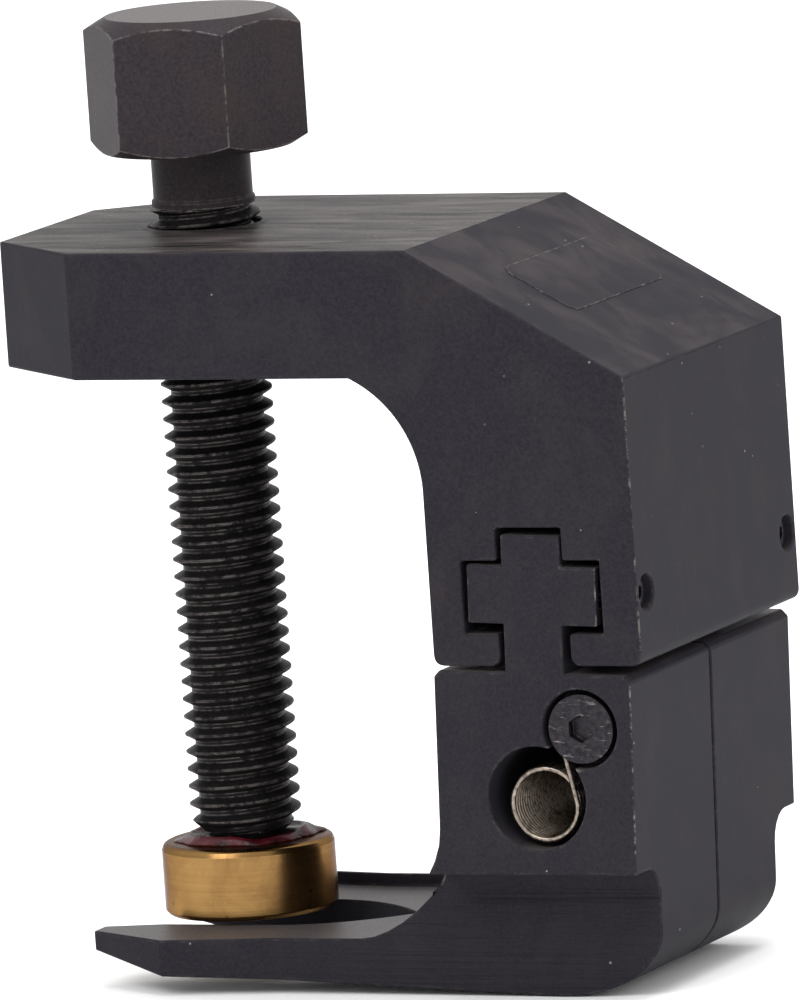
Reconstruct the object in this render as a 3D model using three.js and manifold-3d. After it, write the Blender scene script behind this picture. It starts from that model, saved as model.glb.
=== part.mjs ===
// A small C-frame puller for wiper arms and ball joints.
//
// A steel C-frame carries an M8 pressure spindle in its upper arm. The spindle pushes a swivelling
// brass cap down between two fork halves, which hang by cross-shaped heads from a slot in the
// frame's foot. The halves slide apart along the slot, and a coil spring pulls them together.
//
// Millimetres, +Z up. The origin is the middle of the cap's pressure face, on the spindle's axis,
// with the spindle screwed down until the cap meets the fork. The frame's back is at +X, and the
// front half of the fork is at -Y.

import * as THREE from 'three';
import { mergeVertices } from 'three/addons/utils/BufferGeometryUtils.js';
import Module from 'manifold-3d';

const wasm = await Module();
wasm.setup();

// Running gap between pieces that touch
const GAP = 0.3;

// Overlap of shapes that are joined into one piece
const JOIN = 0.05;

// C-frame
const HALF_WIDTH = 14.45;
const ARM_TOP = 48.9;
const ARM_UNDERSIDE = 39.95;
const NOSE_X = -12.4;
const NOSE_TAPER_X = 8.15;
const NOSE_TAPER_Y = 6.6;
const RIDGE_X = 21.55;
const BACK_X = 37.45;
const SLOPE_FOOT_Z = 39.9;
const FRAME_FOOT = 19.75;
const INNER_X = 21.75;
const THROAT_RADIUS = 8.9;
const THROAT_CENTRE_Z = 31.9;
const FOOT_CORNER = 0.86;

// Cross-shaped slot in the frame's foot, from the top down: rib, arms, lips
const SLOT_X = 29.45;
const RIB_SLOT_WIDTH = 4.95;
const RIB_SLOT_TOP = 29.45;
const ARM_SLOT_WIDTH = 10.45;
const ARM_SLOT_TOP = 27.15;
const ARM_SLOT_FOOT = 22;
const LIP_GAP = 5.35;
const LIP_CORNER = 0.78;

// Stop screws in the frame's back face, whose points run in the jaw heads
const STOP_HOLE_RADIUS = 1.25;
const STOP_RADIUS = 0.98;
const STOP_POINT_RADIUS = 0.65;
const STOP_SOCKET_RADIUS = 0.55;
const STOP_SOCKET_DEPTH = 0.95;
const STOP_INSET = 1.65;
const STOP_Z = 24.7;
const STOP_RECESS = 0.55;
const STOP_BODY_END = 35.1;
const STOP_POINT_END = 33.3;
const STOP_OVERLAP = 0.4;

// Spindle and its cap
const THREAD_RADIUS = 3.93;
const SPINDLE_BORE_RADIUS = 4.2;
const THREAD_START = 5.7;
const THREAD_END = 50.45;
const THREAD_LEAD = 0.7;
const NECK_RADIUS = 3.52;
const HEAD_FOOT = 54.4;
const HEAD_HEIGHT = 9.6;
const HEAD_ACROSS_FLATS = 13.75;
const HEAD_TURN = THREE.MathUtils.degToRad(-20.2);
const HEAD_CHAMFER = 1.05;
const HEAD_CROWN = 0.8;
const HEAD_CROWN_DROP = 0.35;
const HEAD_MARGIN = 0.15;
const CAP_RADIUS = 6.15;
const CAP_HEIGHT = 5.1;
const CAP_ROUNDING = 0.5;
const CAP_FOOT_CHAMFER = 0.3;
const CAP_SHOULDER = 0.3;
const CAP_WELL_FLOOR = 1.25;
const CAP_WELL_RADIUS = 2.95;
const TIP_RADIUS = 2.6;
const TIP_CHAMFER = 0.6;
const RING_Z = 3.4;
const RING_RADIUS = 2.75;
const RING_WIRE = 0.35;
const RING_MOUTH = 0.55;

// Fork halves
const TRAVEL = 4.7;
const SEAM_GAP = 0.15;
const JAW_HALF_DEPTH = 14.4;
const JAW_LEAN = THREE.MathUtils.degToRad(1.9);
const JAW_PIVOT_Z = 24.7;
const JAW_FRONT_X = 21.85;
const JAW_BACK_X = 36.65;
const JAW_TOP = 19.25;
const JAW_CORNER = 0.45;
const FACE_FOOT = 8;
const SWEEP_UPPER = [21.3, 4.6];
const SWEEP_LOWER_X = 16.1;
const RIB_WIDTH = 4.45;
const RIB_TOP = 28.9;
const HEAD_ARM_WIDTH = 9.7;
const HEAD_ARM_TOP = 26.75;
const HEAD_ARM_FOOT = 22.65;
const STEM_WIDTH = 4.4;
const OVERHANG_Z = 5.05;
const OVERHANG_FILLET = 2.05;
const FILLET_PAST = 3.1;
const BEARING_Z = -GAP;
const HEEL_FOOT = -4.3;
const HEEL_LENGTH = 7.85;
const HEEL_HEIGHT = 5.1;
const FINGER_HALF_WIDTH = 10.2;
const FINGER_TIP_HALF_WIDTH = 11.5;
const FINGER_FLARE_X = 6.25;
const FINGER_CORNER_X = -2.1;
const FINGER_NOSE_X = -8.8;
const FINGER_NOSE_OUTER = 7.9;
const FINGER_NOSE_INNER = 6.2;
const FINGER_NOSE_FOOT = -1.7;
const FINGER_CORNER_FOOT = -2.9;
const THROAT_HALF_WIDTH = 5;
const THROAT_MOUTH_X = -4.55;
const THROAT_FLARE = 0.4;
const THROAT_ARCH_X = 3.9;
const THROAT_END_X = 12.8;
const THROAT_SHOULDER_X = 8.6;
const RIM_HEIGHT = 0.9;
const RIM_WIDTH = 0.5;
const RIM_END_X = 17.6;
const RIM_ROOT = 0.4;

// Spring, its bore and its screws
const SPRING_BORE_X = 28.85;
const SPRING_BORE_Z = 10.45;
const SPRING_BORE_RADIUS = 3.65;
const SPRING_X = 29;
const SPRING_Z = 9.85;
const SPRING_RADIUS = 2.7;
const SPRING_WIRE = 0.4;
const SPRING_RECESS = 0.86;
const LEG_RADIUS = 0.25;
const LEG_DEPTH = 1.65;
const LEG_PAST_SCREW = 0.3;
const LEG_CLEARANCE = 0.95;
const SCREW_X = 32.4;
const SCREW_Z = 15.3;
const SCREW_HEAD_RADIUS = 2.45;
const SCREW_HEAD_DEPTH = 1;
const SCREW_RECESS = 0.2;
const SCREW_SHANK_RADIUS = 1.2;
const SCREW_LENGTH = 6.65;
const SCREW_HOLE_PAST = 1;
const SCREW_SOCKET = 1.7;
const SCREW_SOCKET_DEPTH = 0.71;
const COUNTERBORE_RADIUS = 2.8;
const COUNTERBORE_DEPTH = 2.2;

// Sides of round shapes
const FINE = 48;
const MEDIUM = 32;
const COARSE = 16;
const HEXAGON = 6;

// Extra length of a cutting solid past the faces that it cuts
const PAST = 2;

const metal = (color, roughness) => new THREE.MeshStandardMaterial({ color, roughness, metalness: 1 });
const FRAME_STEEL = metal(0x3a3a3e, 0.45);
const JAW_STEEL = metal(0x37373b, 0.45);
const SPINDLE_STEEL = metal(0x2a2829, 0.4);
const BRASS = metal(0xa87e3c, 0.3);
const STOP_SCREW_STEEL = metal(0x1e1e20, 0.5);
const SPRING_SCREW_STEEL = metal(0x55525a, 0.4);
const RING_STEEL = metal(0x8a8a8c, 0.35);
const SPRING_STEEL = metal(0xa49c90, 0.3);

// Two positions on one axis, the lower one first
const sorted = (a, b) => [Math.min(a, b), Math.max(a, b)];

// A geometry as a manifold-3d solid, with its shared vertices merged
function solid(geometry) {
  const bare = geometry.clone();
  bare.deleteAttribute('normal');
  bare.deleteAttribute('uv');
  const merged = mergeVertices(bare, 1e-4);
  const vertProperties = new Float32Array(merged.attributes.position.array);
  const triVerts = new Uint32Array(merged.index.array);
  return new wasm.Manifold(new wasm.Mesh({ numProp: 3, vertProperties, triVerts }));
}

// A manifold-3d solid as a geometry again
function geometryOf(body) {
  const mesh = body.getMesh();
  const positions = Float32Array.from(mesh.vertProperties);
  const geometry = new THREE.BufferGeometry();
  geometry.setAttribute('position', new THREE.BufferAttribute(positions, 3));
  geometry.setIndex(new THREE.BufferAttribute(Uint32Array.from(mesh.triVerts), 1));
  return geometry;
}

// A closed outline in X and Z, extruded along Y from y0 to y1
function extrudeAlongY(shape, y0, y1, curveSegments = 12) {
  const depth = y1 - y0;
  const geometry = new THREE.ExtrudeGeometry(shape, { depth, bevelEnabled: false, curveSegments });
  geometry.rotateX(Math.PI / 2);
  geometry.translate(0, y1, 0);
  return geometry;
}

// A closed outline in X and Y, extruded along Z from z0 to z1
function extrudeAlongZ(shape, z0, z1, curveSegments = 12) {
  const depth = z1 - z0;
  const geometry = new THREE.ExtrudeGeometry(shape, { depth, bevelEnabled: false, curveSegments });
  geometry.translate(0, 0, z0);
  return geometry;
}

function polygon(points) {
  return new THREE.Shape(points.map(([x, y]) => new THREE.Vector2(x, y)));
}

function box(x0, x1, y0, y1, z0, z1) {
  const geometry = new THREE.BoxGeometry(x1 - x0, y1 - y0, z1 - z0);
  geometry.translate((x0 + x1) / 2, (y0 + y1) / 2, (z0 + z1) / 2);
  return geometry;
}

// A cylinder about the Z axis through (x, y)
function postZ(radius, x, y, z0, z1, sides = MEDIUM) {
  const geometry = new THREE.CylinderGeometry(radius, radius, z1 - z0, sides);
  geometry.rotateX(Math.PI / 2);
  geometry.translate(x, y, (z0 + z1) / 2);
  return geometry;
}

// A cylinder about the Y axis through (x, z)
function barY(radius, x, z, y0, y1, sides = MEDIUM) {
  const geometry = new THREE.CylinderGeometry(radius, radius, y1 - y0, sides);
  geometry.translate(x, (y0 + y1) / 2, z);
  return geometry;
}

// A cylinder about the X axis through (y, z)
function barX(radius, y, z, x0, x1, sides = COARSE) {
  const geometry = new THREE.CylinderGeometry(radius, radius, x1 - x0, sides);
  geometry.rotateZ(Math.PI / 2);
  geometry.translate((x0 + x1) / 2, y, z);
  return geometry;
}

// A turned solid about the Z axis, from a profile of [radius, height] that starts and ends on the axis
function turned(profile, sides = FINE) {
  const geometry = new THREE.LatheGeometry(profile.map(([r, z]) => new THREE.Vector2(r, z)), sides);
  geometry.rotateX(Math.PI / 2);
  return geometry;
}

// The side view of the C-frame: arm, sloping back, spine and foot
function frameOutline() {
  const arcStartX = INNER_X - THROAT_RADIUS
    + Math.sqrt(THROAT_RADIUS ** 2 - (ARM_UNDERSIDE - THROAT_CENTRE_Z) ** 2);
  const startAngle = Math.atan2(ARM_UNDERSIDE - THROAT_CENTRE_Z, arcStartX - (INNER_X - THROAT_RADIUS));
  const shape = new THREE.Shape();
  shape.moveTo(NOSE_X, ARM_UNDERSIDE);
  shape.lineTo(arcStartX, ARM_UNDERSIDE);
  shape.absarc(INNER_X - THROAT_RADIUS, THROAT_CENTRE_Z, THROAT_RADIUS, startAngle, 0, true);
  shape.lineTo(INNER_X, FRAME_FOOT + FOOT_CORNER);
  shape.quadraticCurveTo(INNER_X, FRAME_FOOT, INNER_X + FOOT_CORNER, FRAME_FOOT);
  shape.lineTo(BACK_X - FOOT_CORNER, FRAME_FOOT);
  shape.quadraticCurveTo(BACK_X, FRAME_FOOT, BACK_X, FRAME_FOOT + FOOT_CORNER);
  shape.lineTo(BACK_X, SLOPE_FOOT_Z);
  shape.lineTo(RIDGE_X, ARM_TOP);
  shape.lineTo(NOSE_X, ARM_TOP);
  return shape;
}

// The top view of the C-frame: a bar whose nose tapers on both sides
function framePlan() {
  const taperX = NOSE_X + NOSE_TAPER_X;
  const noseY = HALF_WIDTH - NOSE_TAPER_Y;
  return polygon([
    [NOSE_X, -noseY], [taperX, -HALF_WIDTH], [BACK_X + PAST, -HALF_WIDTH],
    [BACK_X + PAST, HALF_WIDTH], [taperX, HALF_WIDTH], [NOSE_X, noseY],
  ]);
}

// The cross-shaped slot, open at the foot, with rounded corners at its mouth
function slotOutline() {
  const rib = RIB_SLOT_WIDTH / 2;
  const arm = ARM_SLOT_WIDTH / 2;
  const lip = LIP_GAP / 2;
  const mouth = lip + LIP_CORNER;
  const shape = new THREE.Shape();
  shape.moveTo(SLOT_X - mouth, FRAME_FOOT - PAST);
  shape.lineTo(SLOT_X + mouth, FRAME_FOOT - PAST);
  shape.lineTo(SLOT_X + mouth, FRAME_FOOT);
  shape.quadraticCurveTo(SLOT_X + lip, FRAME_FOOT, SLOT_X + lip, FRAME_FOOT + LIP_CORNER);
  shape.lineTo(SLOT_X + lip, ARM_SLOT_FOOT);
  shape.lineTo(SLOT_X + arm, ARM_SLOT_FOOT);
  shape.lineTo(SLOT_X + arm, ARM_SLOT_TOP);
  shape.lineTo(SLOT_X + rib, ARM_SLOT_TOP);
  shape.lineTo(SLOT_X + rib, RIB_SLOT_TOP);
  shape.lineTo(SLOT_X - rib, RIB_SLOT_TOP);
  shape.lineTo(SLOT_X - rib, ARM_SLOT_TOP);
  shape.lineTo(SLOT_X - arm, ARM_SLOT_TOP);
  shape.lineTo(SLOT_X - arm, ARM_SLOT_FOOT);
  shape.lineTo(SLOT_X - lip, ARM_SLOT_FOOT);
  shape.lineTo(SLOT_X - lip, FRAME_FOOT + LIP_CORNER);
  shape.quadraticCurveTo(SLOT_X - lip, FRAME_FOOT, SLOT_X - mouth, FRAME_FOOT);
  return shape;
}

function cFrame() {
  const profile = solid(extrudeAlongY(frameOutline(), -HALF_WIDTH - PAST, HALF_WIDTH + PAST, 14));
  const plan = solid(extrudeAlongZ(framePlan(), FRAME_FOOT - PAST, ARM_TOP + PAST));
  const slot = solid(extrudeAlongY(slotOutline(), -HALF_WIDTH - PAST, HALF_WIDTH + PAST, 4));
  const boreEnds = [ARM_UNDERSIDE - PAST, ARM_TOP + PAST];
  const spindleBore = solid(postZ(SPINDLE_BORE_RADIUS, 0, 0, ...boreEnds, FINE));
  let body = profile.intersect(plan).subtract(slot).subtract(spindleBore);
  for (const side of [-1, 1]) {
    const y = side * (HALF_WIDTH - STOP_INSET);
    body = body.subtract(solid(barX(STOP_HOLE_RADIUS, y, STOP_Z, SLOT_X, BACK_X + PAST)));
  }
  return geometryOf(body);
}

// A screw with a dog point, from its outer end inwards along -X
function stopScrew(side) {
  const y = side * (HALF_WIDTH - STOP_INSET);
  const shank = solid(barX(STOP_RADIUS, y, STOP_Z, STOP_BODY_END, BACK_X - STOP_RECESS));
  const point = solid(barX(STOP_POINT_RADIUS, y, STOP_Z, STOP_POINT_END, STOP_BODY_END + STOP_OVERLAP));
  const socketFloor = BACK_X - STOP_RECESS - STOP_SOCKET_DEPTH;
  const socket = solid(barX(STOP_SOCKET_RADIUS, y, STOP_Z, socketFloor, BACK_X, HEXAGON));
  return geometryOf(shank.add(point).subtract(socket));
}

// The spindle's tip, thread and neck, turned about Z
function spindleProfile() {
  const tipFoot = CAP_WELL_FLOOR + GAP;
  const grooveHalf = RING_WIRE + GAP;
  const grooveRadius = RING_RADIUS - RING_WIRE - GAP;
  return [
    [0, tipFoot], [TIP_RADIUS - TIP_CHAMFER, tipFoot], [TIP_RADIUS, tipFoot + TIP_CHAMFER],
    [TIP_RADIUS, RING_Z - grooveHalf], [grooveRadius, RING_Z - grooveHalf],
    [grooveRadius, RING_Z + grooveHalf], [TIP_RADIUS, RING_Z + grooveHalf],
    [TIP_RADIUS, THREAD_START], [THREAD_RADIUS - THREAD_LEAD, THREAD_START],
    [THREAD_RADIUS, THREAD_START + THREAD_LEAD], [THREAD_RADIUS, THREAD_END - THREAD_LEAD],
    [NECK_RADIUS, THREAD_END], [NECK_RADIUS, HEAD_FOOT + JOIN], [0, HEAD_FOOT + JOIN],
  ];
}

// A hex head whose corners are turned off at both ends
function hexHead() {
  const corner = HEAD_ACROSS_FLATS / Math.sqrt(3);
  const flat = HEAD_ACROSS_FLATS / 2;
  const prism = new THREE.CylinderGeometry(corner, corner, HEAD_HEIGHT, HEXAGON);
  prism.rotateX(Math.PI / 2);
  prism.rotateZ(HEAD_TURN);
  prism.translate(0, 0, HEAD_FOOT + HEAD_HEIGHT / 2);
  const top = HEAD_FOOT + HEAD_HEIGHT;
  const rise = HEAD_CHAMFER;
  const barrel = turned([
    [0, HEAD_FOOT], [flat - HEAD_MARGIN, HEAD_FOOT], [corner + HEAD_MARGIN, HEAD_FOOT + rise],
    [corner + HEAD_MARGIN, top - rise], [flat, top - HEAD_CROWN_DROP],
    [flat - HEAD_CROWN, top], [0, top],
  ]);
  return solid(prism).intersect(solid(barrel));
}

function spindle() {
  return geometryOf(solid(turned(spindleProfile())).add(hexHead()));
}

// A turned cap with a blind well for the spindle's tip and an inner groove for the snap ring
function thrustCap() {
  const grooveHalf = RING_WIRE + GAP;
  const grooveRadius = RING_RADIUS + RING_WIRE + GAP;
  return turned([
    [0, 0], [CAP_RADIUS - CAP_FOOT_CHAMFER, 0], [CAP_RADIUS, CAP_FOOT_CHAMFER],
    [CAP_RADIUS, CAP_HEIGHT - CAP_ROUNDING],
    [CAP_RADIUS - CAP_ROUNDING * CAP_SHOULDER, CAP_HEIGHT - CAP_ROUNDING * CAP_SHOULDER],
    [CAP_RADIUS - CAP_ROUNDING, CAP_HEIGHT],
    [CAP_WELL_RADIUS, CAP_HEIGHT], [CAP_WELL_RADIUS, RING_Z + grooveHalf],
    [grooveRadius, RING_Z + grooveHalf], [grooveRadius, RING_Z - grooveHalf],
    [CAP_WELL_RADIUS, RING_Z - grooveHalf], [CAP_WELL_RADIUS, CAP_WELL_FLOOR],
    [0, CAP_WELL_FLOOR],
  ]);
}

// A sprung wire ring with a gap, between the groove in the tip and the groove in the cap
function snapRing() {
  const ring = new THREE.TorusGeometry(RING_RADIUS, RING_WIRE, 8, MEDIUM);
  ring.translate(0, 0, RING_Z);
  const mouth = box(0, RING_RADIUS + PAST, -RING_MOUTH, RING_MOUTH, RING_Z - PAST, RING_Z + PAST);
  return geometryOf(solid(ring).subtract(solid(mouth)));
}

// A point of a fork half, leaning about the middle of its head
function leaned(x, z) {
  const dx = x - SLOT_X;
  const dz = z - JAW_PIVOT_Z;
  const cos = Math.cos(JAW_LEAN);
  const sin = Math.sin(JAW_LEAN);
  return [SLOT_X + dx * cos + dz * sin, JAW_PIVOT_Z - dx * sin + dz * cos];
}

// The side view of a fork half, from the top of its cross-shaped head round to the fork's finger
function jawOutline() {
  const rib = RIB_WIDTH / 2;
  const arm = HEAD_ARM_WIDTH / 2;
  const stem = STEM_WIDTH / 2;
  const at = (x, z) => leaned(x, z);
  const back = leaned(JAW_BACK_X, HEEL_FOOT + HEEL_HEIGHT);
  const shape = new THREE.Shape();
  shape.moveTo(...at(SLOT_X - rib, RIB_TOP));
  for (const [x, z] of [
    [SLOT_X - rib, HEAD_ARM_TOP], [SLOT_X - arm, HEAD_ARM_TOP],
    [SLOT_X - arm, HEAD_ARM_FOOT], [SLOT_X - stem, HEAD_ARM_FOOT],
    [SLOT_X - stem, JAW_TOP], [JAW_FRONT_X + JAW_CORNER, JAW_TOP], [JAW_FRONT_X, JAW_TOP - JAW_CORNER],
    [JAW_FRONT_X, FACE_FOOT],
  ]) {
    shape.lineTo(...at(x, z));
  }
  shape.bezierCurveTo(...SWEEP_UPPER, SWEEP_LOWER_X, BEARING_Z, THROAT_END_X, BEARING_Z);
  shape.lineTo(FINGER_NOSE_X, BEARING_Z);
  shape.lineTo(FINGER_NOSE_X, FINGER_NOSE_FOOT);
  shape.lineTo(FINGER_CORNER_X, FINGER_CORNER_FOOT);
  const heelX = back[0] - HEEL_LENGTH;
  shape.lineTo(heelX, HEEL_FOOT);
  shape.absellipse(heelX, back[1], HEEL_LENGTH, back[1] - HEEL_FOOT, -Math.PI / 2, 0, false);
  for (const [x, z] of [
    [JAW_BACK_X, JAW_TOP - JAW_CORNER], [JAW_BACK_X - JAW_CORNER, JAW_TOP], [SLOT_X + stem, JAW_TOP],
    [SLOT_X + stem, HEAD_ARM_FOOT], [SLOT_X + arm, HEAD_ARM_FOOT],
    [SLOT_X + arm, HEAD_ARM_TOP], [SLOT_X + rib, HEAD_ARM_TOP], [SLOT_X + rib, RIB_TOP],
  ]) {
    shape.lineTo(...at(x, z));
  }
  return shape;
}

// What the milling cutter takes off the outer flank of a finger, seen from below and behind.
// side is -1 for the front half and +1 for the rear half.
function flankCut(side) {
  const rim = side > 0 ? RIM_WIDTH : 0;
  const outer = side * (HALF_WIDTH + PAST);
  const flank = side * (FINGER_HALF_WIDTH + rim);
  const nose = side * FINGER_NOSE_OUTER;
  const plan = polygon([
    [BACK_X + PAST, flank], [FINGER_FLARE_X, flank],
    [FINGER_CORNER_X, side * (FINGER_TIP_HALF_WIDTH + rim)], [FINGER_NOSE_X, nose],
    [FINGER_NOSE_X - PAST, nose], [FINGER_NOSE_X - PAST, outer], [BACK_X + PAST, outer],
  ]);
  return solid(extrudeAlongZ(plan, HEEL_FOOT - PAST, OVERHANG_Z));
}

// The concave fillet left under the overhang, along X
function overhangFillet(side) {
  const steps = 5;
  const flank = FINGER_HALF_WIDTH + (side > 0 ? RIM_WIDTH : 0);
  const corner = [side * (flank - JOIN), OVERHANG_Z + JOIN];
  const points = [corner];
  for (let i = 0; i <= steps; i += 1) {
    const angle = (Math.PI / 2) * (i / steps);
    points.push([
      side * (flank + OVERHANG_FILLET * (1 - Math.cos(angle))),
      OVERHANG_Z - OVERHANG_FILLET * (1 - Math.sin(angle)),
    ]);
  }
  points.push([points[points.length - 1][0], OVERHANG_Z + JOIN]);
  const depth = JAW_BACK_X - JAW_FRONT_X + 2 * FILLET_PAST;
  const geometry = new THREE.ExtrudeGeometry(polygon(points), { depth, bevelEnabled: false });
  // the outline's first axis turns to Y, its second to Z, and the extrusion runs along X
  geometry.applyMatrix4(new THREE.Matrix4().set(0, 0, 1, 0, 1, 0, 0, 0, 0, 1, 0, 0, 0, 0, 0, 1));
  geometry.translate(JAW_FRONT_X - FILLET_PAST, 0, 0);
  return solid(geometry);
}

// The open throat between the two fingers: a mouth, parallel sides and a pointed arch on the seam
function throatCut() {
  const plan = new THREE.Shape();
  plan.moveTo(FINGER_NOSE_X - PAST, -FINGER_NOSE_INNER - THROAT_FLARE);
  plan.lineTo(THROAT_MOUTH_X, -THROAT_HALF_WIDTH);
  plan.lineTo(THROAT_ARCH_X, -THROAT_HALF_WIDTH);
  plan.quadraticCurveTo(THROAT_SHOULDER_X, -THROAT_HALF_WIDTH, THROAT_END_X, 0);
  plan.quadraticCurveTo(THROAT_SHOULDER_X, THROAT_HALF_WIDTH, THROAT_ARCH_X, THROAT_HALF_WIDTH);
  plan.lineTo(THROAT_MOUTH_X, THROAT_HALF_WIDTH);
  plan.lineTo(FINGER_NOSE_X - PAST, FINGER_NOSE_INNER + THROAT_FLARE);
  return solid(extrudeAlongZ(plan, HEEL_FOOT - PAST, OVERHANG_Z));
}

// The groove in a jaw head that the stop screw's point runs in, as long as the jaw's travel
function stopGroove(side) {
  const y = HALF_WIDTH - STOP_INSET;
  const reach = STOP_POINT_RADIUS + GAP;
  const ends = sorted(side * (y + reach), side * (y - TRAVEL - reach));
  return solid(box(STOP_POINT_END - GAP, BACK_X, ends[0], ends[1], STOP_Z - reach, STOP_Z + reach));
}

// The raised rim that the cutter left along the outer edge of the rear finger
function rearRim() {
  const plan = polygon([
    [RIM_END_X, FINGER_HALF_WIDTH], [FINGER_FLARE_X, FINGER_HALF_WIDTH],
    [FINGER_CORNER_X, FINGER_TIP_HALF_WIDTH], [FINGER_CORNER_X, FINGER_TIP_HALF_WIDTH + RIM_WIDTH],
    [FINGER_FLARE_X, FINGER_HALF_WIDTH + RIM_WIDTH], [RIM_END_X, FINGER_HALF_WIDTH + RIM_WIDTH],
  ]);
  return solid(extrudeAlongZ(plan, BEARING_Z - RIM_ROOT, BEARING_Z + RIM_HEIGHT));
}

// One half of the fork; side is -1 for the front half and +1 for the rear half
function jaw(side) {
  const ends = sorted(side * SEAM_GAP, side * JAW_HALF_DEPTH);
  const depthY = (depth) => side * (JAW_HALF_DEPTH - depth);
  const counterbore = sorted(depthY(-PAST), depthY(COUNTERBORE_DEPTH));
  const screwHole = sorted(depthY(0), depthY(SCREW_LENGTH + SCREW_HOLE_PAST));
  let body = solid(extrudeAlongY(jawOutline(), ends[0], ends[1], 10));
  body = body.subtract(flankCut(side)).add(overhangFillet(side).intersect(body));
  body = body.subtract(throatCut()).subtract(stopGroove(side));
  if (side > 0) {
    body = body.add(rearRim());
  }
  const through = HALF_WIDTH + PAST;
  body = body
    .subtract(solid(barY(SPRING_BORE_RADIUS, SPRING_BORE_X, SPRING_BORE_Z, -through, through, FINE)))
    .subtract(solid(barY(COUNTERBORE_RADIUS, SCREW_X, SCREW_Z, ...counterbore, FINE)))
    .subtract(solid(barY(SCREW_SHANK_RADIUS + GAP, SCREW_X, SCREW_Z, ...screwHole, COARSE)));
  return geometryOf(body);
}

// A flush socket screw in a jaw's outer face; it points inwards along Y
function springScrew(side) {
  const face = JAW_HALF_DEPTH - SCREW_RECESS;
  const span = (depth0, depth1) => sorted(side * (face - depth0), side * (face - depth1));
  const head = span(0, SCREW_HEAD_DEPTH);
  const shank = span(SCREW_HEAD_DEPTH - JOIN, SCREW_LENGTH);
  const socket = span(-PAST, SCREW_SOCKET_DEPTH);
  const socketRadius = SCREW_SOCKET / Math.sqrt(3);
  const body = solid(barY(SCREW_HEAD_RADIUS, SCREW_X, SCREW_Z, head[0], head[1], MEDIUM))
    .add(solid(barY(SCREW_SHANK_RADIUS, SCREW_X, SCREW_Z, shank[0], shank[1], COARSE)))
    .subtract(solid(barY(socketRadius, SCREW_X, SCREW_Z, socket[0], socket[1], HEXAGON)));
  return geometryOf(body);
}

// The end of the spring wire, from the last coil up past the screw's shank, under the screw's head
function springLeg(side) {
  const y = side * (JAW_HALF_DEPTH - LEG_DEPTH);
  const coilX = SPRING_X + SPRING_RADIUS - SPRING_WIRE / 2;
  const start = new THREE.Vector3(coilX, y, SPRING_Z);
  const besideShank = SCREW_X - SCREW_SHANK_RADIUS - LEG_RADIUS - LEG_CLEARANCE;
  const end = new THREE.Vector3(besideShank, y, SCREW_Z + LEG_PAST_SCREW);
  const leg = new THREE.CylinderGeometry(LEG_RADIUS, LEG_RADIUS, start.distanceTo(end), 8);
  const direction = end.clone().sub(start).normalize();
  leg.applyQuaternion(new THREE.Quaternion().setFromUnitVectors(new THREE.Vector3(0, 1, 0), direction));
  leg.translate((start.x + end.x) / 2, y, (start.z + end.z) / 2);
  return solid(leg);
}

// The close-wound spring as a tube of its outer and inner diameters, with its two end legs
function returnSpring() {
  const half = JAW_HALF_DEPTH - SPRING_RECESS;
  const outside = solid(barY(SPRING_RADIUS, SPRING_X, SPRING_Z, -half, half));
  const inside = solid(barY(SPRING_RADIUS - SPRING_WIRE, SPRING_X, SPRING_Z, -half - PAST, half + PAST));
  const tube = outside.subtract(inside);
  return geometryOf(tube.add(springLeg(-1)).add(springLeg(1)));
}

const group = new THREE.Group();

function place(name, geometry, material) {
  const mesh = new THREE.Mesh(geometry, material);
  mesh.name = name;
  group.add(mesh);
}

place('c_frame', cFrame(), FRAME_STEEL);
place('stop_screw_front', stopScrew(-1), STOP_SCREW_STEEL);
place('stop_screw_rear', stopScrew(1), STOP_SCREW_STEEL);
place('spindle', spindle(), SPINDLE_STEEL);
place('thrust_cap', thrustCap(), BRASS);
place('cap_snap_ring', snapRing(), RING_STEEL);
place('jaw_front', jaw(-1), JAW_STEEL);
place('jaw_rear', jaw(1), JAW_STEEL);
place('spring_screw_front', springScrew(-1), SPRING_SCREW_STEEL);
place('spring_screw_rear', springScrew(1), SPRING_SCREW_STEEL);
place('return_spring', returnSpring(), SPRING_STEEL);

export default group;
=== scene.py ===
import math

import bmesh
import bpy
from mathutils import Matrix, Vector
from mathutils.bvhtree import BVHTree


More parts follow.
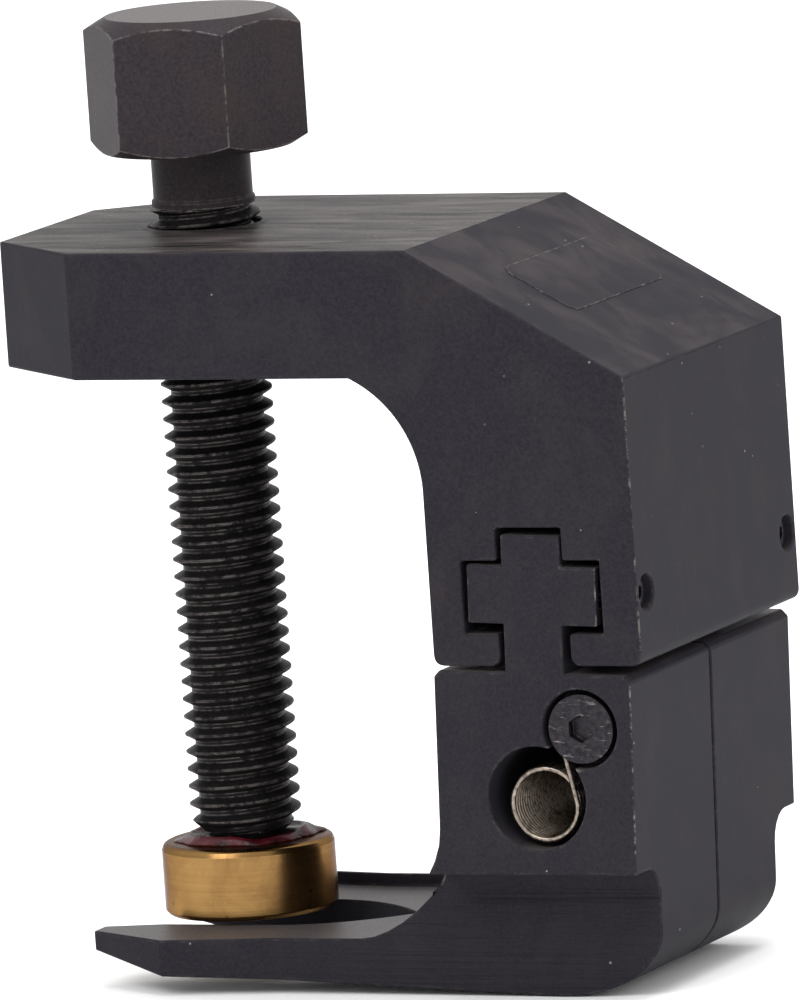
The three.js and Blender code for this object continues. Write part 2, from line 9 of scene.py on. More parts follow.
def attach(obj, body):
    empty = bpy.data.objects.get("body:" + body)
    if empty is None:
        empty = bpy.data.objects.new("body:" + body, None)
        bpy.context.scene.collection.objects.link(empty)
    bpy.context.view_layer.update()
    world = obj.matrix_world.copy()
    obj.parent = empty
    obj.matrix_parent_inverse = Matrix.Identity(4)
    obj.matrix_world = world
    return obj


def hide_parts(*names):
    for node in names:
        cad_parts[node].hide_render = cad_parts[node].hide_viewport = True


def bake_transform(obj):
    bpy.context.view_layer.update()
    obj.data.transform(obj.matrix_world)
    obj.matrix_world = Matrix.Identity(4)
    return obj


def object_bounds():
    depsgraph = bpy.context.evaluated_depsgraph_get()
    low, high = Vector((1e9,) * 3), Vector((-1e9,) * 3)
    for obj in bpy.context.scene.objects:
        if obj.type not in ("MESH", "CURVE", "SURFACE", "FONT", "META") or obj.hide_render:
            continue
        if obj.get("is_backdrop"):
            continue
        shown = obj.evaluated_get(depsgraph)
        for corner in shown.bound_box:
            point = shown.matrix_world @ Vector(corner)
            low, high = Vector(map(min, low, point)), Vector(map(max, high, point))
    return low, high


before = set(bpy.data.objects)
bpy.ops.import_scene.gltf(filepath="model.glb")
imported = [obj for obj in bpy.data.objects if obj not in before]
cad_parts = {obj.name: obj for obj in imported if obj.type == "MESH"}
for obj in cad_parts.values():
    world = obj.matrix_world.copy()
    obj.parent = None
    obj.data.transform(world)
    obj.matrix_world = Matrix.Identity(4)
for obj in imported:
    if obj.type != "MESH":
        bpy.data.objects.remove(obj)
CAD_LOW, CAD_HIGH = (corner.copy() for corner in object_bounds())

MM = 0.001

# Driving dimensions, in millimetres, the same as in the CAD
ARM_TOP = 48.9
RIDGE_X = 21.55
BACK_X = 37.45
SLOPE_FOOT_Z = 39.9
THREAD_RADIUS = 3.93
THREAD_START = 5.7
THREAD_END = 50.45
NECK_RADIUS = 3.52
TIP_RADIUS = 2.6
TIP_CHAMFER = 0.6
TIP_FOOT = 1.55
RING_Z = 3.4
RING_WIRE = 0.35
GAP = 0.3
HEAD_FOOT = 54.4
HEAD_HEIGHT = 9.6
HEAD_ACROSS_FLATS = 13.75
HEAD_TURN = math.radians(-20.2)
HEAD_CHAMFER = 1.05
HEAD_CROWN = 0.8
HEAD_CROWN_DROP = 0.35
HEAD_MARGIN = 0.15
CAP_HEIGHT = 5.1
JAW_HALF_DEPTH = 14.4
OVERHANG_Z = 5.05
SPRING_X = 29.0
SPRING_Z = 9.85
SPRING_RADIUS = 2.7
SPRING_WIRE = 0.4
SPRING_RECESS = 0.86
LEG_DEPTH = 1.65
LEG_RADIUS = 0.25
LEG_PAST_SCREW = 0.3
LEG_CLEARANCE = 0.95
SCREW_X = 32.4
SCREW_Z = 15.3
SCREW_SHANK_RADIUS = 1.2

# Finer detail of the spindle, which the CAD leaves out: its thread's form and two ends, the ring on its
# neck, and how far its parts reach into each other
PITCH = 1.25
THREAD_ROOT = 3.24
THREAD_START_STEP = 0.3
RUN_OUT_SLOPE = 1.5
NECK_RING_HEIGHT = 0.35
NECK_RING_RISE = 0.14
NECK_RING_CHAMFER = 0.15
JOIN = 0.1
TIP_JOIN = 0.4

# Finer detail of the spring: coil spacing in wire widths, points in a turn, and points along the leg
COIL_SPACING = 1.04
COIL_POINTS = 28
LEG_SHARES = (0.12, 0.3, 0.6, 1.0)

# Grease round the foot of the thread; its outline is in shares of the spread and heights above the cap
GREASE_LIFT = 0.02
GREASE_CLEARANCE = 0.06
GREASE_HEIGHT = 0.75
GREASE_SPREAD = 0.55
GREASE_DIP = 0.08
GREASE_OUTLINE = ((1.0, 0.0), (0.9, 0.16), (0.55, 0.36), (0.25, GREASE_HEIGHT))

# Burred edge of the threaded hole: how far it stands up, sinks in and clears the thread, and its slopes
MOUTH_RADIUS = 4.6
MOUTH_DEPTH = 1.2
MOUTH_BURR = 0.12
MOUTH_CLEARANCE = 0.05
MOUTH_SUNK = 0.02
MOUTH_OUTER_SLOPE = 0.25
MOUTH_INNER_SLOPE = 0.12

# Blank raised panel on the slope: distances down from the ridge, and its ends across the frame
PANEL_TOP = 4.74
PANEL_FOOT = 10.97
PANEL_FRONT_Y = -7.37
PANEL_REAR_Y = 9.09
PANEL_RISE = 0.06
PANEL_SUNK = 0.15
PANEL_CORNER = 1.1
PANEL_CORNER_STEPS = 8

# Widths of the rounded edges. On the CAD's own shapes, points that the rounding leaves more than
# STRAY_SHARE of the width off the surface are pulled back to it
FRAME_EDGE = 0.2
JAW_EDGE = 0.15
CAP_EDGE = 0.1
SPRING_SCREW_EDGE = 0.08
STOP_SCREW_EDGE = 0.06
SNAP_RING_EDGE = 0.03
SPINDLE_EDGE = 0.035
PANEL_EDGE = 0.06
MOUTH_EDGE = 0.03
STRAY_SHARE = 0.6

# Angles in degrees: edges sharper than these are rounded, and flatter facets than this are merged
EDGE_ANGLE = 30.0
SPINDLE_EDGE_ANGLE = 24.0
FLAT_ANGLE = 0.6

# Points closer than these are merged: in the CAD meshes, and in the meshes made here
CAD_WELD = 0.004
WELD = 0.0005
SLIVER = 0.0002

# Floor, in metres
FLOOR_HALF = 2.5
FLOOR_DROP = 0.00002

# Camera: a little above the object, in front of it and towards its back, with a slight roll
CAMERA_TARGET = Vector((13.635, 0.0, 29.161)) * MM
CAMERA_AZIMUTH = math.radians(24.202)
CAMERA_ELEVATION = math.radians(8.214)
CAMERA_ROLL = math.radians(-3.893)
CAMERA_DISTANCE = 1.1755
CAMERA_LENS = 602.37


# ---- meshes -------------------------------------------------------------------------------------

def link_mesh(name, mesh):
    obj = bpy.data.objects.new(name, mesh)
    bpy.context.scene.collection.objects.link(obj)
    return obj


def solid_from(name, points, faces):
    """A closed mesh in millimetres, scaled to metres, with its normals outward."""
    mesh = bpy.data.meshes.new(name)
    mesh.from_pydata([tuple(Vector(p) * MM) for p in points], [], faces)
    work = bmesh.new()
    work.from_mesh(mesh)
    bmesh.ops.remove_doubles(work, verts=work.verts, dist=WELD * MM)
    bmesh.ops.dissolve_degenerate(work, edges=work.edges, dist=SLIVER * MM)
    bmesh.ops.recalc_face_normals(work, faces=work.faces)
    work.to_mesh(mesh)
    work.free()
    return link_mesh(name, mesh)


def lathe_mesh(profile, sides=128, wobble=None):
    """Points and faces of a profile of (radius, height) pairs turned about Z.

    wobble gives the extra radius at an angle and a radius.
    """
    points, faces = [], []
    for radius, height in profile:
        for i in range(sides):
            angle = 2 * math.pi * i / sides
            extra = wobble(angle, radius) if wobble else 0.0
            r = radius + extra if radius > 0 else 0.0
            points.append((r * math.cos(angle), r * math.sin(angle), height))
    for row in range(len(profile) - 1):
        for i in range(sides):
            a, b = row * sides + i, row * sides + (i + 1) % sides
            faces.append((a, b, b + sides, a + sides))
    return points, faces


def ring_mesh(profile, wobble=None, sides=128):
    """A closed profile turned about Z, none of it on the axis."""
    points, faces = lathe_mesh(profile, sides, wobble)
    last = (len(profile) - 1) * sides
    for i in range(sides):
        j = (i + 1) % sides
        faces.append((last + i, last + j, j, i))
    return points, faces


def merged(*parts):
    """The points and faces of several meshes in one."""
    points, faces = [], []
    for more_points, more_faces in parts:
        shift = len(points)
        points += more_points
        faces += [tuple(v + shift for v in face) for face in more_faces]
    return points, faces


def tube_mesh(path, radius, sides=10):
    """A round wire along a path, with closed ends."""
    path = [Vector(p) for p in path]
    points, faces = [], []
    normal = None
    for i, here in enumerate(path):
        ahead = (path[min(i + 1, len(path) - 1)] - path[max(i - 1, 0)]).normalized()
        if normal is None:
            normal = ahead.orthogonal().normalized()
        normal = (normal - ahead * normal.dot(ahead)).normalized()
        across = ahead.cross(normal)
        for k in range(sides):
            angle = 2 * math.pi * k / sides
            points.append(here + (normal * math.cos(angle) + across * math.sin(angle)) * radius)
    for i in range(len(path) - 1):
        for k in range(sides):
            a, b = i * sides + k, i * sides + (k + 1) % sides
            faces.append((a, b, b + sides, a + sides))
    faces.append(tuple(reversed(range(sides))))
    last = (len(path) - 1) * sides
    faces.append(tuple(range(last, last + sides)))
    return points, faces


def rounded_edges(obj, width, angle=EDGE_ANGLE, segments=3):
    """Softens the edges with real geometry and shades the curved faces smooth."""
    obj.data.shade_smooth()
    obj.data.set_sharp_from_angle(angle=math.radians(angle))
    bevel = obj.modifiers.new("edges", "BEVEL")
    bevel.width = width * MM
    bevel.segments = segments
    bevel.limit_method = "ANGLE"
    bevel.angle_limit = math.radians(angle)
    bevel.use_clamp_overlap = False
    bevel.harden_normals = True
    normals = obj.modifiers.new("normals", "WEIGHTED_NORMAL")
    normals.keep_sharp = True


def settled(obj, surface, reach):
    """Applies the rounded edges where they left points off the surface, and pulls those points back."""
    bpy.context.view_layer.update()
    mesh = bpy.data.meshes.new_from_object(obj.evaluated_get(bpy.context.evaluated_depsgraph_get()))
    strays = []
    for vertex in mesh.vertices:
        nearest, _, _, distance = surface.find_nearest(vertex.co)
        if distance > reach * MM:
            strays.append((vertex, nearest))
    if strays:
        for vertex, nearest in strays:
            vertex.co = nearest
        obj.modifiers.clear()
        obj.data = mesh


def dress(obj, body, material):
    obj.data.materials.clear()
    obj.data.materials.append(material)
    if body:
        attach(obj, body)
    return obj


def refined(node, body, material, edge):
    """The CAD node's own shape with merged flats and rounded edges of the width edge."""
    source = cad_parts[node]
    bpy.context.view_layer.update()
    mesh = source.data.copy()
    mesh.transform(source.matrix_world)
    corners = [vertex.co.copy() for vertex in mesh.vertices]
    surface = BVHTree.FromPolygons(corners, [tuple(face.vertices) for face in mesh.polygons])
    obj = link_mesh(node + "_finish", mesh)
    work = bmesh.new()
    work.from_mesh(mesh)
    bmesh.ops.remove_doubles(work, verts=work.verts, dist=CAD_WELD * MM)
    flat = math.radians(FLAT_ANGLE)
    bmesh.ops.dissolve_limit(work, angle_limit=flat, verts=work.verts, edges=work.edges)
    work.to_mesh(mesh)
    work.free()
    rounded_edges(obj, edge)
    settled(obj, surface, edge * STRAY_SHARE)
    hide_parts(node)
    return dress(obj, body, material)


# ---- materials ----------------------------------------------------------------------------------

def linear(red, green, blue):
    """A colour given as it looks on a screen, 0 to 255."""
    out = []
    for value in (red, green, blue):
        v = value / 255
        out.append(v / 12.92 if v <= 0.04045 else ((v + 0.055) / 1.055) ** 2.4)
    return (*out, 1.0)


class Tree:
    """A material's node tree, with short ways to add the usual nodes."""

    def __init__(self, name):
        self.material = bpy.data.materials.new(name)
        self.material.use_nodes = True
        self.tree = self.material.node_tree
        self.tree.nodes.clear()
        self.output = self.tree.nodes.new("ShaderNodeOutputMaterial")
        self.shader = self.tree.nodes.new("ShaderNodeBsdfPrincipled")
        self.link(self.shader.outputs["BSDF"], self.output.inputs["Surface"])
        self.position = self.tree.nodes.new("ShaderNodeTexCoord").outputs["Object"]

    def link(self, out, into):
        self.tree.links.new(out, into)

    def feed(self, socket, value):
        if isinstance(value, bpy.types.NodeSocket):
            self.link(value, socket)
        else:
            socket.default_value = value

    def coords(self, scale):
        """Object coordinates in millimetres, stretched by scale along each axis."""
        node = self.tree.nodes.new("ShaderNodeMapping")
        node.inputs["Scale"].default_value = [s / MM for s in scale]
        self.link(self.position, node.inputs["Vector"])
        return node.outputs["Vector"]

    def noise(self, scale, detail=4.0, roughness=0.6, distortion=0.0):
        node = self.tree.nodes.new("ShaderNodeTexNoise")
        self.link(self.coords(scale), node.inputs["Vector"])
        node.inputs["Scale"].default_value = 1.0
        node.inputs["Detail"].default_value = detail
        node.inputs["Roughness"].default_value = roughness
        node.inputs["Distortion"].default_value = distortion
        return node.outputs["Fac"]

    def cells(self, scale):
        node = self.tree.nodes.new("ShaderNodeTexVoronoi")
        self.link(self.coords(scale), node.inputs["Vector"])
        node.inputs["Scale"].default_value = 1.0
        return node.outputs["Distance"]

    def math(self, operation, a, b=0.0):
        node = self.tree.nodes.new("ShaderNodeMath")
        node.operation = operation
        self.feed(node.inputs[0], a)
        self.feed(node.inputs[1], b)
        return node.outputs[0]

    def span(self, value, low, high, to_low=0.0, to_high=1.0):
        node = self.tree.nodes.new("ShaderNodeMapRange")
        self.feed(node.inputs["Value"], value)
        node.inputs["From Min"].default_value = low
        node.inputs["From Max"].default_value = high
        node.inputs["To Min"].default_value = to_low
        node.inputs["To Max"].default_value = to_high
        return node.outputs["Result"]

    def mix(self, amount, a, b):
        node = self.tree.nodes.new("ShaderNodeMix")
        node.data_type = "RGBA"
        self.feed(node.inputs[0], amount)
        self.feed(node.inputs[6], a)
        self.feed(node.inputs[7], b)
        return node.outputs[2]

    def normal(self, axis):
        """The part of the surface's normal along an axis, -1 to 1."""
        geometry = self.tree.nodes.new("ShaderNodeNewGeometry")
        split = self.tree.nodes.new("ShaderNodeSeparateXYZ")
        self.link(geometry.outputs["Normal"], split.inputs[0])
        return split.outputs[axis]

    def place(self, axis):
        """The position along an axis, in millimetres."""
        split = self.tree.nodes.new("ShaderNodeSeparateXYZ")
        self.link(self.position, split.inputs[0])
        return self.math("DIVIDE", split.outputs[axis], MM)

    def edges(self, radius):
        """How near an edge is: the difference between the flat normal and one rounded over radius."""
        bevel = self.tree.nodes.new("ShaderNodeBevel")
        bevel.samples = 6
        bevel.inputs["Radius"].default_value = radius * MM
        geometry = self.tree.nodes.new("ShaderNodeNewGeometry")
        dot = self.tree.nodes.new("ShaderNodeVectorMath")
        dot.operation = "DOT_PRODUCT"
        self.link(bevel.outputs[0], dot.inputs[0])
        self.link(geometry.outputs["Normal"], dot.inputs[1])
        return self.math("SUBTRACT", 1.0, dot.outputs["Value"])

    def bump(self, height, distance, strength=1.0, under=None):
        node = self.tree.nodes.new("ShaderNodeBump")
        node.inputs["Strength"].default_value = strength
        node.inputs["Distance"].default_value = distance * MM
        self.link(height, node.inputs["Height"])
        if under:
            self.link(under, node.inputs["Normal"])
        return node.outputs["Normal"]

    def finish(self, colour, roughness, metallic, normal, gloss=0.5, edge_tint=(1.0, 1.0, 1.0, 1.0)):
        """Links the surface; gloss is the strength of the clear reflection, edge_tint its grazing colour."""
        self.feed(self.shader.inputs["Base Color"], colour)
        self.feed(self.shader.inputs["Roughness"], roughness)
        self.feed(self.shader.inputs["Metallic"], metallic)
        self.feed(self.shader.inputs["Specular IOR Level"], gloss)
        self.shader.inputs["Specular Tint"].default_value = edge_tint
        self.link(normal, self.shader.inputs["Normal"])
        return self.material


def black_steel(name, dark, light, tint, milled=False):
    """Blackened steel: mottled grain, tinted patches, lighter tops (worn streaks and painted sheen), small
    flecks and chipped edges.
    """
    tree = Tree(name)
    grain = tree.noise((4.6, 4.6, 4.6), detail=6, roughness=0.72)
    colour = tree.mix(tree.span(grain, 0.34, 0.7), dark, light)
    patches = tree.noise((0.16, 0.2, 0.12), detail=5, roughness=0.6, distortion=0.8)
    colour = tree.mix(tree.span(patches, 0.5, 0.72, 0.0, 0.3), colour, tint)
    colour = smudges(tree, colour)
    # Upward faces are painted a lighter brownish grey: worn streaks, plus a painted sheen in place of
    # overhead light. On the milled jaws the top colour is lifted further, as painted light against the shade
    # of the cap and arm on the finger tops.
    upward = tree.span(tree.normal(2), 0.9, 0.99)
    top_streak_dark = linear(70, 67, 68) if milled else linear(20, 18, 18)
    colour = tree.mix(upward, colour, worn_and_sheen_top(tree, top_streak_dark))
    flecks = tree.math("LESS_THAN", tree.cells((0.55, 0.55, 0.55)), 0.05)
    sparse = tree.span(tree.noise((0.3, 0.3, 0.3), detail=2), 0.52, 0.6, 0.0, 0.55)
    flecks = tree.math("MULTIPLY", flecks, sparse)
    chips = tree.span(tree.noise((0.9, 0.9, 0.9), detail=7, roughness=0.8), 0.5, 0.58)
    rubbed = tree.math("MULTIPLY", tree.span(tree.edges(0.25), 0.02, 0.14, 0.0, 0.8), chips)
    bare = tree.math("MAXIMUM", rubbed, flecks)
    colour = tree.mix(bare, colour, linear(158, 150, 146))
    streaks = tree.noise((0.25, 0.25, 2.4), detail=5, roughness=0.65)
    normal = tree.bump(grain, 0.03, 0.4)
    normal = tree.bump(streaks, 0.02, 0.2, under=normal)
    if milled:
        normal = milled_flank(tree, normal)
    roughness = tree.span(grain, 0.3, 0.7, 0.36, 0.5)
    gloss = tree.span(upward, 0.0, 1.0, 0.02, 0.26 if milled else 0.07)
    return tree.finish(colour, roughness, tree.span(bare, 0.0, 1.0, 0.0, 0.8), normal, gloss)


def smudges(tree, colour):
    """Faint smudges down every face, and stronger brownish smears on sloping ones."""
    runs = tree.noise((0.2, 0.2, 0.14), detail=5, roughness=0.65, distortion=0.5)
    colour = tree.mix(tree.span(runs, 0.48, 0.74, 0.0, 0.2), colour, linear(60, 54, 58))
    smears = tree.noise((0.14, 0.2, 0.16), detail=7, roughness=0.6, distortion=0.6)
    sloping = tree.span(tree.normal(2), 0.6, 0.85)
    amount = tree.math("MULTIPLY", sloping, tree.span(smears, 0.42, 0.72, 0.0, 0.5))
    return tree.mix(amount, colour, linear(76, 69, 69))


def worn_and_sheen_top(tree, dark):
    """The brownish grey painted on upward faces, partly wear and partly a painted sheen from overhead light,
    with darker streaks along the part.
    """
    streaks = tree.noise((0.1, 0.55, 0.3), detail=6, roughness=0.68, distortion=0.7)
    return tree.mix(tree.span(streaks, 0.38, 0.62), dark, linear(78, 72, 71))


def milled_flank(tree, under):
    """Cutter lines along the flanks below the overhang, fading towards the fingertips."""
    lines = tree.noise((0.05, 0.05, 2.6), detail=3, roughness=0.5)
    flank = tree.span(tree.math("ABSOLUTE", tree.normal(1)), 0.85, 0.97)
    below = tree.span(tree.place(2), OVERHANG_Z, OVERHANG_Z - 0.4)
    along = tree.span(tree.math("ADD", tree.place(0), tree.place(2)), 4.0, 15.0, 0.25, 1.0)
    amount = tree.math("MULTIPLY", tree.math("MULTIPLY", flank, below), along)
    return tree.bump(tree.math("MULTIPLY", lines, amount), 0.3, 1.0, under=under)


def thread_steel():
    """Dark oiled steel, brighter where its corners and crests rub."""
    tree = Tree("spindle_steel")
    grain = tree.noise((4.0, 4.0, 4.0), detail=5, roughness=0.65)
    colour = tree.mix(tree.span(grain, 0.35, 0.7), linear(40, 36, 39), linear(55, 50, 53))
    patches = tree.noise((0.22, 0.22, 0.2), detail=4, roughness=0.6)
    colour = tree.mix(tree.span(patches, 0.48, 0.7, 0.0, 0.5), colour, linear(56, 48, 47))
    # Upward faces, the hex top among them, are painted lighter: a painted sheen from overhead light, with
    # some wear.
    sheen_and_wear_top = tree.span(tree.normal(2), 0.9, 0.99, 0.0, 0.7)
    colour = tree.mix(sheen_and_wear_top, colour, linear(96, 90, 90))
    oil = tree.mix(tree.span(grain, 0.35, 0.7), linear(16, 15, 16), linear(32, 30, 31))
    colour = tree.mix(tree.span(tree.place(2), THREAD_END, THREAD_END - 0.6), colour, oil)
    chips = tree.span(tree.noise((1.2, 1.2, 1.2), detail=6, roughness=0.78), 0.44, 0.56)
    bare = tree.math("MULTIPLY", tree.span(tree.edges(0.2), 0.015, 0.1, 0.0, 0.85), chips)
    colour = tree.mix(bare, colour, linear(150, 142, 138))
    turned = tree.noise((0.3, 0.3, 7.0), detail=2)
    normal = tree.bump(grain, 0.02, 0.4)
    normal = tree.bump(turned, 0.02, 0.3, under=normal)
    roughness = tree.span(grain, 0.3, 0.7, 0.3, 0.46)
    return tree.finish(colour, roughness, tree.span(bare, 0.0, 1.0, 0.0, 0.8), normal, gloss=0.035)


def turned_brass():
    """Smooth brass with faint turning rings, brown tarnish, a few spots and small dents."""
    tree = Tree("brass")
    rings = tree.noise((0.1, 0.1, 6.0), detail=3, roughness=0.5)
    tarnish = tree.noise((0.26, 0.26, 0.2), detail=5, roughness=0.65, distortion=0.6)
    colour = tree.mix(tree.span(rings, 0.3, 0.7), linear(136, 104, 62), linear(150, 117, 71))
    colour = tree.mix(tree.span(tarnish, 0.44, 0.72, 0.0, 0.6), colour, linear(120, 86, 54))
    spots = tree.math("LESS_THAN", tree.cells((0.5, 0.5, 0.5)), 0.07)
    colour = tree.mix(tree.math("MULTIPLY", spots, 0.6), colour, linear(84, 52, 34))
    dents = tree.noise((0.9, 0.9, 0.9), detail=4, roughness=0.6)
    normal = tree.bump(rings, 0.02, 0.12)
    normal = tree.bump(dents, 0.03, 0.2, under=normal)
    roughness = tree.span(tarnish, 0.35, 0.75, 0.2, 0.34)
    return tree.finish(colour, roughness, 1.0, normal, edge_tint=(0.45, 0.45, 0.5, 1.0))


def spring_wire():
    """Drawn wire, plain and slightly dulled."""
    tree = Tree("spring_steel")
    grain = tree.noise((2.4, 2.4, 2.4), detail=4)
    colour = tree.mix(tree.span(grain, 0.36, 0.7), linear(104, 95, 88), linear(172, 160, 146))
    normal = tree.bump(tree.noise((6.0, 6.0, 6.0), detail=3), 0.015, 0.4)
    return tree.finish(colour, tree.span(grain, 0.3, 0.7, 0.22, 0.4), 1.0, normal)


def screw_metal():
    """Dark zinc finish of the small screws, with scuffed heads."""
    tree = Tree("screw_steel")
    grain = tree.noise((3.0, 3.0, 3.0), detail=5, roughness=0.7)
    colour = tree.mix(tree.span(grain, 0.36, 0.68), linear(22, 20, 24), linear(52, 48, 54))
    scuffs = tree.span(tree.noise((1.0, 1.0, 4.5), detail=4), 0.6, 0.74)
    colour = tree.mix(tree.math("MULTIPLY", scuffs, 0.5), colour, linear(168, 162, 160))
    normal = tree.bump(grain, 0.02, 0.4)
    return tree.finish(colour, tree.span(grain, 0.3, 0.7, 0.28, 0.5), 0.75, normal)


def red_grease():
    """Dark red grease, wet and uneven."""
    tree = Tree("grease")
    film = tree.noise((0.9, 0.9, 0.9), detail=4)
    colour = tree.mix(tree.span(film, 0.35, 0.7), linear(34, 6, 12), linear(84, 14, 26))
    normal = tree.bump(film, 0.2, 0.9)
    return tree.finish(colour, tree.span(film, 0.3, 0.7, 0.22, 0.42), 0.0, normal, gloss=0.3)


# ---- pieces -------------------------------------------------------------------------------------

def thread_mesh():
    """A right-handed thread as rows that follow the helix, so its crests stay crisp."""
    sides = 96
    root_width = PITCH / 4
    crest_width = PITCH / 8
    flank = (PITCH - root_width - crest_width) / 2
    middle = (THREAD_ROOT + THREAD_RADIUS) / 2
    levels = [
        (0.0, THREAD_ROOT), (root_width, THREAD_ROOT), (root_width + flank / 2, middle),
        (root_width + flank, THREAD_RADIUS), (root_width + flank + crest_width, THREAD_RADIUS),
        (PITCH - flank / 2, middle),
    ]
    first = math.floor(THREAD_START / PITCH) - 2
    last = math.ceil(THREAD_END / PITCH) + 1
    rows = [(turn * PITCH + rise, radius) for turn in range(first, last) for rise, radius in levels]
    points, faces = [], []
    for height, radius in rows:
        for i in range(sides):
            angle = 2 * math.pi * i / sides
            z = height + PITCH * i / sides
            lead_in = THREAD_ROOT - THREAD_START_STEP + max(0.0, z - THREAD_START)
            run_out = NECK_RADIUS + max(0.0, THREAD_END - z) * RUN_OUT_SLOPE
            r = min(radius, lead_in, run_out)
            if z < THREAD_START or z > THREAD_END:
                z, r = min(max(z, THREAD_START), THREAD_END), 0.0
            points.append((r * math.cos(angle), r * math.sin(angle), z))
    per_turn = len(levels)
    for row in range(len(rows) - 1):
        for i in range(sides - 1):
            a = row * sides + i
            faces.append((a, a + 1, a + 1 + sides, a + sides))
    for row in range(len(rows) - 1 - per_turn):
        a, b = row * sides + sides - 1, (row + per_turn) * sides
        faces.append((a, b, b + sides, a + sides))
    return points, faces


def hex_head_mesh():
    """A hexagonal head whose chamfers cut curved arcs into its faces."""
    sides = 96
    flat = HEAD_ACROSS_FLATS / 2
    corner = flat / math.cos(math.pi / 6)
    circle = flat - HEAD_MARGIN
    crown = flat - HEAD_CROWN
    top, foot = HEAD_FOOT + HEAD_HEIGHT, HEAD_FOOT
    outlines = []
    for i in range(sides):
        angle = 2 * math.pi * i / sides
        off = (angle + math.pi / 6) % (math.pi / 3) - math.pi / 6
        reach = flat / math.cos(off)
        drop = (HEAD_CHAMFER - HEAD_CROWN_DROP) * (reach - circle) / (corner - circle)
        along = Vector((math.cos(angle + HEAD_TURN), math.sin(angle + HEAD_TURN), 0.0))
        outlines.append([along * radius + Vector((0, 0, height)) for radius, height in (
            (0.0, foot), (circle, foot), (reach, foot + drop), (reach, top - HEAD_CROWN_DROP - drop),
            (circle, top - HEAD_CROWN_DROP), (crown, top), (0.0, top),
        )])
    rings = list(zip(*outlines))
    points = [tuple(p) for ring in rings for p in ring]
    faces = []
    for row in range(len(rings) - 1):
        for i in range(sides):
            a, b = row * sides + i, row * sides + (i + 1) % sides
            faces.append((a, b, b + sides, a + sides))
    return points, faces


def spindle_piece(material):
    groove = TIP_RADIUS - RING_WIRE - GAP / 2
    half = RING_WIRE + GAP / 2
    tip = lathe_mesh([
        (0, TIP_FOOT), (TIP_RADIUS - TIP_CHAMFER, TIP_FOOT),
        (TIP_RADIUS, TIP_FOOT + TIP_CHAMFER), (TIP_RADIUS, RING_Z - half),
        (groove, RING_Z - half), (groove, RING_Z + half), (TIP_RADIUS, RING_Z + half),
        (TIP_RADIUS, THREAD_START + TIP_JOIN), (0, THREAD_START + TIP_JOIN),
    ], sides=64)
    ring_radius = NECK_RADIUS + NECK_RING_RISE
    ring_top = THREAD_END + NECK_RING_HEIGHT
    neck = lathe_mesh([
        (0, THREAD_END - JOIN), (ring_radius, THREAD_END - JOIN), (ring_radius, ring_top),
        (NECK_RADIUS, ring_top + NECK_RING_CHAMFER), (NECK_RADIUS, HEAD_FOOT + JOIN), (0, HEAD_FOOT + JOIN),
    ])
    obj = solid_from("spindle_finish", *merged(tip, thread_mesh(), neck, hex_head_mesh()))
    rounded_edges(obj, SPINDLE_EDGE, angle=SPINDLE_EDGE_ANGLE, segments=2)
    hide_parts("spindle")
    return dress(obj, "spindle", material)


def spring_half(side, material):
    """One half of the close-wound spring, from its middle out to the leg that hooks behind the screw."""
    end = JAW_HALF_DEPTH - SPRING_RECESS - SPRING_WIRE / 2
    turns = round(end / (SPRING_WIRE * COIL_SPACING))
    radius = SPRING_RADIUS - SPRING_WIRE / 2
    steps = turns * COIL_POINTS
    path = []
    for i in range(steps + 1):
        angle = 2 * math.pi * turns * i / steps
        path.append((
            SPRING_X + radius * math.cos(angle), side * end * i / steps, SPRING_Z + radius * math.sin(angle),
        ))
    hook_x = SCREW_X - SCREW_SHANK_RADIUS - LEG_RADIUS - LEG_CLEARANCE
    hook = Vector((hook_x, side * (JAW_HALF_DEPTH - LEG_DEPTH), SCREW_Z + LEG_PAST_SCREW))
    root = Vector((SPRING_X + radius, side * end, SPRING_Z))
    path += [root.lerp(hook, share) for share in LEG_SHARES]
    name = "return_spring_" + ("front" if side < 0 else "rear")
    obj = solid_from(name, *tube_mesh(path, SPRING_WIRE / 2))
    obj.data.shade_smooth()
    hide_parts("return_spring")
    dress(obj, None, material)
    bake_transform(obj)
    return obj


def grease_spread(angle, radius):
    """How far the grease reaches past its round outline: lobes, a blob on one side, a tail on the other."""
    lip = THREAD_RADIUS + GREASE_CLEARANCE
    if radius <= lip:
        return 0.0
    lobes = 0.22 * math.sin(2 * angle + 0.9) + 0.12 * math.sin(5 * angle + 0.4)
    lobes += 0.09 * math.sin(11 * angle)
    blob = 0.5 * math.exp(-((angle - math.radians(205)) / 0.22) ** 2)
    tail = 1.0 * math.exp(-((angle - math.radians(32)) / 0.18) ** 2)
    return max(-0.6 * (radius - lip), (lobes + blob + tail) * (radius - lip) / GREASE_SPREAD)


def grease_collar(material):
    """Grease squeezed out of the cap's well: an uneven lip round the foot of the thread."""
    inner = TIP_RADIUS + GREASE_CLEARANCE
    lip = THREAD_RADIUS + GREASE_CLEARANCE
    foot = CAP_HEIGHT + GREASE_LIFT
    floor_top = THREAD_START - GREASE_CLEARANCE

    def sagged(x, y, z):
        angle = math.atan2(y, x)
        height = 0.72 + 0.2 * math.sin(3 * angle + 0.5) + 0.08 * math.sin(8 * angle)
        return x, y, foot + (z - foot) * height

    outer = [(lip + GREASE_SPREAD * share, foot + height) for share, height in GREASE_OUTLINE]
    points, faces = ring_mesh([
        (inner, foot), *outer, (lip, foot + GREASE_HEIGHT - GREASE_DIP), (lip, floor_top), (inner, floor_top),
    ], grease_spread)
    obj = solid_from("grease", [sagged(*point) for point in points], faces)
    obj.data.shade_smooth()
    return dress(obj, "cap", material)


